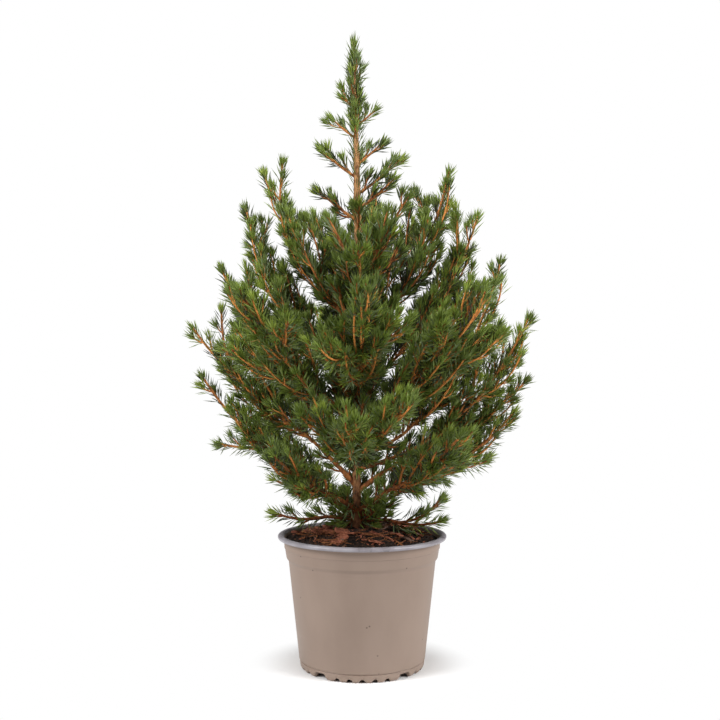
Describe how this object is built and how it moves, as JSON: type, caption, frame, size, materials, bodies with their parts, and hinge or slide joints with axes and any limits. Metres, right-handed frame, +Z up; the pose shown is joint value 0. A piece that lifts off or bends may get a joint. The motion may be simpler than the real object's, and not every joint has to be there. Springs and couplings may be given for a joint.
{
  "type": "potted dwarf alberta spruce",
  "caption": "Young dwarf Alberta spruce with a straight trunk, upswept boughs and short green needles, growing in soil in a round taupe plastic nursery pot.",
  "frame": {"origin": "centre of the flat underside of the pot", "axes": "+Z up along the pot's axis to the leader's tip, -Y towards the plant's face side, +X to its right"},
  "size_m": [0.2659, 0.2555, 0.482],
  "materials": {
    "pot_plastic": "matt taupe plastic with a smoother pale lip",
    "soil": "dark brown potting compost of peat and bark chips",
    "bark": "rough orange-brown bark with old needle pegs",
    "needles": "short stiff green needles, yellow-green at the tips"
  },
  "bodies": {
    "root": {"bough_back_left_low": "bark", "bough_back_left_mid": "bark", "bough_back_low": "bark", "bough_back_mid": "bark", "bough_back_right_low": "bark", "bough_back_right_mid": "bark", "bough_back_top": "bark", "bough_front_left_low": "bark", "bough_front_left_mid": "bark", "bough_front_low": "bark", "bough_front_mid": "bark", "bough_front_right_low": "bark", "bough_front_right_mid": "bark", "bough_front_top": "bark", "bough_left_low": "bark", "bough_left_mid": "bark", "bough_left_skirt": "bark", "bough_left_top": "bark", "bough_left_upper": "bark", "bough_left_upper_low": "bark", "bough_right_low": "bark", "bough_right_mid": "bark", "bough_right_mid_low": "bark", "bough_right_skirt": "bark", "bough_right_top": "bark", "bough_right_upper": "bark", "bough_right_upper_low": "bark", "foliage_back_left_low": "needles", "foliage_back_left_mid": "needles", "foliage_back_low": "needles", "foliage_back_mid": "needles", "foliage_back_right_low": "needles", "foliage_back_right_mid": "needles", "foliage_back_top": "needles", "foliage_front_left_low": "needles", "foliage_front_left_mid": "needles", "foliage_front_low": "needles", "foliage_front_mid": "needles", "foliage_front_right_low": "needles", "foliage_front_right_mid": "needles", "foliage_front_top": "needles", "foliage_leader_low": "needles", "foliage_leader_middle": "needles", "foliage_leader_tip": "needles", "foliage_left_low": "needles", "foliage_left_mid": "needles", "foliage_left_skirt": "needles", "foliage_left_top": "needles", "foliage_left_upper": "needles", "foliage_left_upper_low": "needles", "foliage_right_low": "needles", "foliage_right_mid": "needles", "foliage_right_mid_low": "needles", "foliage_right_skirt": "needles", "foliage_right_top": "needles", "foliage_right_upper": "needles", "foliage_right_upper_low": "needles", "pot": "pot_plastic", "soil": "soil", "trunk": "bark"}
  },
  "joints": []
}
